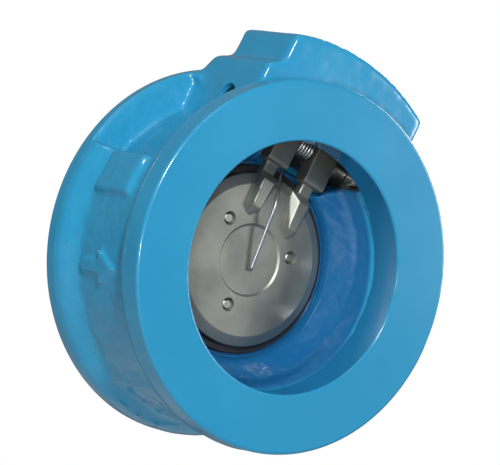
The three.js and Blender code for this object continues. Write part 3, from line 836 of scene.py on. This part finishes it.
finished(
    retainer,
    "retainer_plate",
    turned_steel("retainer_lathe", (0.52, 0.52, 0.49), (0.40, 0.40, 0.38)),
    "disc",
    ["seal_retainer"],
)


# ---- Retainer screws and washers ---------------------------------------------------------------------
# Three M6 stainless hexagon screws from the inlet side, each on a plain washer. Their threaded ends show
# in the sunk holes of the disc's face.

thread_crest = 2.98 * mm
thread_root = 2.55 * mm
pitch = 1 * mm
head_height = 4 * mm
collar = 3 * mm
washer_rim = 5.4 * mm
washer_round = 3.5 * mm
screw_look = dull_steel("screw_finish", (0.50, 0.49, 0.44), (0.38, 0.37, 0.33), 0.30, 1400.0, 0.02 * mm)
for number, (x, z) in enumerate(screw_places, 1):
    name = f"retainer_screw_{number}"
    tip, head_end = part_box(name)[0].y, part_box(name)[1].y
    head_start = head_end - head_height
    shank_profile = [(0, tip), (2.3 * mm, tip), (2.85 * mm, tip + 0.5 * mm)]
    thread_turns = int((head_start - collar - tip) / pitch)
    for turn in range(1, thread_turns):
        shank_profile += [(thread_crest, tip + turn * pitch), (thread_root, tip + (turn + 0.5) * pitch)]
    shank_end = head_end - 1 * mm
    shank_profile += [(thread_crest, head_start - collar), (thread_crest, shank_end), (0, shank_end)]
    shank = turned("shank", shank_profile, 40)
    moved(shank, Matrix.Translation((x, 0, z)))
    head = bar("head", 5.6 * mm, (x, head_start, z), (x, head_end, z), 6)
    dome = turned(
        "dome",
        [
            (0, head_start - 1 * mm),
            (5.2 * mm, head_start - 1 * mm),
            (5.7 * mm, head_start + 0.6 * mm),
            (5.7 * mm, head_end - 0.9 * mm),
            (4.7 * mm, head_end),
            (0, head_end),
        ],
        64,
    )
    moved(dome, Matrix.Translation((x, 0, z)))
    joined(head, dome, "INTERSECT")
    joined(head, shank)
    finished(head, f"screw_{number}", screw_look, "disc", [name])
    washer_node = f"screw_washer_{number}"
    washer_front, washer_back = (corner.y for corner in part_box(washer_node))
    washer = turned(
        "washer",
        [
            (screw_hole, washer_front + 0.15 * mm),
            (washer_round, washer_front),
            (washer_rim - 0.2 * mm, washer_front),
            (washer_rim, washer_front + 0.25 * mm),
            (washer_rim, washer_back - 0.25 * mm),
            (washer_rim - 0.2 * mm, washer_back),
            (washer_round, washer_back),
            (screw_hole, washer_back - 0.15 * mm),
            (screw_hole, washer_front + 0.15 * mm),
        ],
        64,
    )
    moved(washer, Matrix.Translation((x, 0, z)))
    finished(washer, f"washer_{number}", screw_look, "disc", [washer_node])


# ---- Hinge pin, sleeves, plugs and gaskets -----------------------------------------------------------
# A ground stainless pin lies in the lug's bore and carries the disc's knuckles. Two turned sleeves keep the
# knuckles in the middle, and a blackened socket plug on a copper gasket closes the bore at each end.

across = Matrix.Translation(hinge) @ Matrix.Rotation(-math.pi / 2, 4, "Z")
pin_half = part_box("hinge_pin")[1].x
pin_chamfer = 0.8 * mm
sleeve_edge = 0.4 * mm
pin = turned(
    "pin",
    [
        (0, -pin_half),
        (pin_radius - pin_chamfer, -pin_half),
        (pin_radius, -pin_half + pin_chamfer),
        (pin_radius, pin_half - pin_chamfer),
        (pin_radius - pin_chamfer, pin_half),
        (0, pin_half),
    ],
    64,
)
moved(pin, across)
pin_look = dull_steel("ground_steel", (0.62, 0.62, 0.60), (0.52, 0.52, 0.50), 0.22, 1200.0, 0.01 * mm)
finished(pin, "pin", pin_look, "root", ["hinge_pin"])

sleeve_look = dull_steel("sleeve_steel", (0.60, 0.58, 0.50), (0.46, 0.45, 0.39), 0.30, 900.0, 0.02 * mm)
plug_look = dull_steel("blackened_steel", (0.10, 0.10, 0.105), (0.055, 0.055, 0.06), 0.42, 800.0, 0.03 * mm)
copper_look = dull_steel("soft_copper", (0.72, 0.36, 0.22), (0.58, 0.27, 0.16), 0.32, 900.0, 0.02 * mm)
for side, place in ((-1, "left"), (1, "right")):
    sleeve_low, sleeve_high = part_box(f"hinge_spacer_{place}")
    sleeve_radius = (sleeve_high.z - sleeve_low.z) / 2
    sleeve = turned(
        "sleeve",
        [
            (pin_bore, sleeve_low.x),
            (sleeve_radius - sleeve_edge, sleeve_low.x),
            (sleeve_radius, sleeve_low.x + sleeve_edge),
            (sleeve_radius, sleeve_high.x - sleeve_edge),
            (sleeve_radius - sleeve_edge, sleeve_high.x),
            (pin_bore, sleeve_high.x),
            (pin_bore, sleeve_low.x),
        ],
        72,
    )
    moved(sleeve, across)
    finished(sleeve, f"sleeve_{place}", sleeve_look, "root", [f"hinge_spacer_{place}"])

    plug_low, plug_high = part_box(f"pin_plug_{place}")
    inner, outer_end = sorted((plug_low.x, plug_high.x), key=abs)
    out = math.copysign(1, outer_end)
    plug = turned(
        "plug",
        [
            (0, inner),
            (plug_radius - 0.4 * mm, inner),
            (plug_radius, inner + out * 0.4 * mm),
            (plug_radius, outer_end - out * 0.6 * mm),
            (plug_radius - 0.6 * mm, outer_end),
            (0, outer_end),
        ],
        72,
    )
    moved(plug, across)
    ends = [(outer_end - out * 3 * mm, hinge.y, hinge.z), (outer_end + out * mm, hinge.y, hinge.z)]
    joined(plug, bar("socket", 3.4 * mm, *ends, 6), "DIFFERENCE")
    finished(plug, f"plug_{place}", plug_look, "root", [f"pin_plug_{place}"])

    gasket_low, gasket_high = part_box(f"plug_gasket_{place}")
    gasket = turned(
        "gasket",
        [
            (pin_bore, gasket_low.x),
            (plug_radius - 0.2 * mm, gasket_low.x),
            (plug_radius, gasket_low.x + 0.3 * mm),
            (plug_radius, gasket_high.x - 0.3 * mm),
            (plug_radius - 0.2 * mm, gasket_high.x),
            (pin_bore, gasket_high.x),
            (pin_bore, gasket_low.x),
        ],
        72,
    )
    moved(gasket, across)
    finished(gasket, f"gasket_{place}", copper_look, "root", [f"plug_gasket_{place}"])


# ---- Closing spring ----------------------------------------------------------------------------------
# One length of 2 mm stainless spring wire: a short leg against the pocket's roof, five turns round the pin
# between the knuckles, and a long leg that runs down over the disc's edge and presses on its middle.

wire_radius = 1 * mm
coil_radius = 7.2 * mm
coil_half = 5.4 * mm
turns = 5 + 25 / 360
steps_a_turn = 24
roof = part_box("torsion_spring")[1].z
points = [Vector((coil_half, hinge.y + coil_radius + 0.8 * mm, roof - 1 * mm))]
points.append(Vector((coil_half, hinge.y + coil_radius + 0.4 * mm, hinge.z + 7 * mm)))
count = round(turns * steps_a_turn)
for i in range(count + 1):
    angle = i / count * turns * 2 * math.pi
    sweep = Vector((0, math.cos(angle), -math.sin(angle))) * coil_radius
    points.append(Vector((coil_half * (1 - 2 * i / count), hinge.y, hinge.z)) + sweep)
coil_end = points[-1]
bend = Vector((-coil_half, disc_face - wire_radius - 5.5 * mm, 36 * mm))
tip = Vector((3.5 * mm, recess_floor - wire_radius - gap, -5 * mm))
points += [coil_end.lerp(bend, share) for share in (0.35, 0.65, 0.93)]
points += [bend.lerp(tip, share) for share in (0.05, 0.35, 0.7, 1)]
spring_line = bpy.data.curves.new("spring", "CURVE")
spring_line.dimensions = "3D"
spring_line.bevel_depth = wire_radius
spring_line.bevel_resolution = 3
spring_line.use_fill_caps = True
spring_line.resolution_u = 6
spline = spring_line.splines.new("BEZIER")
spline.bezier_points.add(len(points) - 1)
for point, place in zip(spline.bezier_points, points):
    point.co = place
    point.handle_left_type = "AUTO"
    point.handle_right_type = "AUTO"
spring = bpy.data.objects.new("spring", spring_line)
bpy.context.collection.objects.link(spring)
picked(spring)
bpy.ops.object.convert(target="MESH")
spring = bpy.context.object
editing(spring)
bpy.ops.mesh.remove_doubles(threshold=0.001 * mm)
bpy.ops.object.mode_set(mode="OBJECT")


def spring_wire():
    """Drawn stainless wire, bright, with faint draw marks."""
    made, tree = material("spring_wire")
    place = node(tree, "ShaderNodeTexCoord").out("Object")
    marks = noise(tree, place, 800.0, 2.0)
    stains = noise(tree, place, 70.0, 3.0)
    colour = mixed(tree, stains, (0.42, 0.43, 0.45), (0.58, 0.58, 0.60))
    bump = node(tree, "ShaderNodeBump", None, Strength=0.1, Distance=0.02 * mm, Height=marks)
    surface(tree, Base_Color=colour, Metallic=1.0, Roughness=0.26 + 0.12 * stains, Normal=bump)
    return made


spring.name = "spring_wire"
spring.data.name = "spring_wire"
spring.data.materials.clear()
spring.data.materials.append(spring_wire())
bpy.ops.object.shade_smooth()
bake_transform(spring)
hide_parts("torsion_spring")


# ---- Floor, light and camera -------------------------------------------------------------------------
# A grey floor well below the valve, and five soft lights placed by their direction as the camera sees it:
# a small key above the lens, a fill beside it, weak ones to the right and overhead, and a wide one behind
# the valve that brightens its edges. A faint even glow stands in for the room.

deselect()
bpy.ops.mesh.primitive_plane_add(size=8, location=(0, 0, -0.9))
floor = bpy.context.object
floor.name = "floor"
floor_look, floor_tree = material("grey_floor")
floor_place = node(floor_tree, "ShaderNodeTexCoord").out("Object")
floor_grain = noise(floor_tree, floor_place, 3.0, 4.0)
floor_colour = mixed(floor_tree, floor_grain, (0.46, 0.46, 0.46), (0.50, 0.50, 0.50))
surface(floor_tree, Base_Color=floor_colour, Roughness=0.8)
floor.data.materials.append(floor_look)

camera_data = bpy.data.cameras.new("camera")
camera = bpy.data.objects.new("camera", camera_data)
bpy.context.collection.objects.link(camera)
camera_data.sensor_width = 36
camera_data.sensor_fit = "HORIZONTAL"
camera_data.lens = 299.34
camera_data.shift_x = -0.0909
camera_data.shift_y = 0.0715
camera_data.clip_end = 20
camera_distance = 2.4011
azimuth, elevation, roll = math.radians(-35.19), math.radians(7.06), math.radians(31.7)
away = Vector((math.sin(azimuth) * math.cos(elevation), -math.cos(azimuth) * math.cos(elevation), 0))
away.z = math.sin(elevation)
right = Vector((math.cos(azimuth), math.sin(azimuth), 0))
rolled = Matrix.Rotation(-roll, 3, "Y")
right, upward, away = rolled @ right, rolled @ away.cross(right), rolled @ away
facing = Matrix((right, upward, away)).transposed().to_4x4()
stand = away * camera_distance + Vector((0, outlet_face, 0))
camera.matrix_world = Matrix.Translation(stand) @ facing
bpy.context.scene.camera = camera


def softbox(name, direction, distance, size, power):
    """A square area light facing the valve, its direction given as right, up and towards the camera."""
    data = bpy.data.lights.new(name, "AREA")
    data.size = size
    data.energy = power
    light = bpy.data.objects.new(name, data)
    bpy.context.collection.objects.link(light)
    side, up, near = direction
    towards = (right * side + upward * up + away * near).normalized()
    turn = towards.to_track_quat("Z", "Y").to_matrix().to_4x4()
    light.matrix_world = Matrix.Translation(towards * distance + Vector((0, outlet_face / 2, 0))) @ turn


softbox("key", (0.15, 0.42, 0.89), 2.0, 0.22, 29)
softbox("fill", (-0.06, -0.04, 1.0), 2.2, 0.14, 12)
softbox("right", (1.0, -0.05, 0.04), 1.6, 0.4, 6)
softbox("overhead", (-0.05, 0.95, 0.30), 1.6, 0.6, 2.5)
softbox("rear", (0.45, 0.15, -0.88), 2.4, 1.6, 50)

world = bpy.data.worlds.new("studio")
bpy.context.scene.world = world
world.use_nodes = True
world.node_tree.nodes.clear()
sky = world.node_tree
seen = node(sky, "ShaderNodeLightPath").out("Is Camera Ray")
glow = node(sky, "ShaderNodeBackground", None, (0.92, 0.95, 1.0, 1), 0.22)
paper = node(sky, "ShaderNodeBackground", None, (1, 1, 1, 1), 1.0)
both = node(sky, "ShaderNodeMixShader", None, seen, glow, paper)
node(sky, "ShaderNodeOutputWorld", None, both)
bpy.context.scene.view_settings.view_transform = "Standard"
